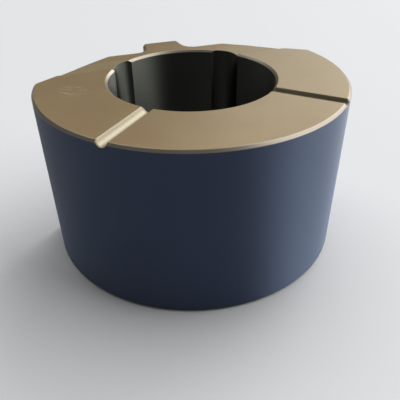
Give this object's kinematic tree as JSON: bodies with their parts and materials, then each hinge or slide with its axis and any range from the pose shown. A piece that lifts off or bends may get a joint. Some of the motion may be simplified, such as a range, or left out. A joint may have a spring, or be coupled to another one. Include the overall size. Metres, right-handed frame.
{
  "type": "sliding bearing sleeve",
  "caption": "Short bearing sleeve with a plain running bore, oil grooves, a grooved thrust face, angled flats and a locating tab.",
  "frame": {"origin": "on the axis of the bore, at half the height", "axes": "+Z along the bore, out of the grooved thrust face; +Y from the bore towards the locating tab"},
  "size_m": [0.065, 0.0584, 0.036],
  "materials": {
    "ceramic": "ground outer wall, lapped thrust face"
  },
  "bodies": {
    "root": {"bearing_sleeve": "ceramic"}
  },
  "joints": []
}
